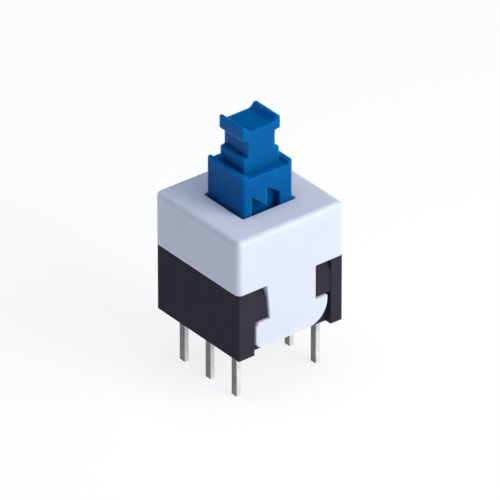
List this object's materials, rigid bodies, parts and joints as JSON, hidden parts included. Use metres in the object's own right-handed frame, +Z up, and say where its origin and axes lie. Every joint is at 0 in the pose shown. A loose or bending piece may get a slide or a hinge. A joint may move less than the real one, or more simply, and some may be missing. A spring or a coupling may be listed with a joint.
{
  "type": "latching push button switch",
  "caption": "Square board-mounted latching push switch: stepped blue plunger in a white hooked cover over a black base, with flat pins in two rows.",
  "frame": {"origin": "centre of the body's underside, which sits on the board; the pins reach below it", "axes": "+Z up, along the plunger; -Y is the front face with one snap hook, and the two rows of pins run along Y"},
  "size_m": [0.0086, 0.0086, 0.0184],
  "materials": {
    "black_plastic": "satin moulded plastic",
    "white_plastic": "smooth moulded plastic",
    "blue_plastic": "smooth moulded plastic",
    "spring_steel": "bright drawn wire and strip",
    "plated_brass": "tin plated",
    "contact_bronze": "bare spring bronze"
  },
  "bodies": {
    "housing": {"base_housing": "black_plastic", "top_cover": "white_plastic", "return_spring": "spring_steel", "latch_leaf_spring": "spring_steel", "common_terminal_left": "plated_brass", "closed_terminal_left": "plated_brass", "open_terminal_left": "plated_brass", "common_terminal_right": "plated_brass", "closed_terminal_right": "plated_brass", "open_terminal_right": "plated_brass"},
    "plunger": {"plunger": "blue_plastic", "moving_contact_left": "contact_bronze", "moving_contact_right": "contact_bronze"},
    "latch": {"latch_wire": "spring_steel"}
  },
  "joints": [
    {"name": "plunger_slide", "type": "slide", "parent": "housing", "child": "plunger", "axis": [0, 0, -1], "range_m": [0, 0.0025], "stiffness_N_per_m": 600, "deforming": ["return_spring"]},
    {"name": "latch_swing", "type": "hinge", "parent": "housing", "child": "latch", "pos_m": [-0.00027, -0.00272, 0.00145], "axis": [0, 1, 0], "range_deg": [0, 8.6]}
  ],
  "couplings": [
    {"joint": "latch_swing", "follows": "plunger_slide", "rad_per_m": 60}
  ]
}
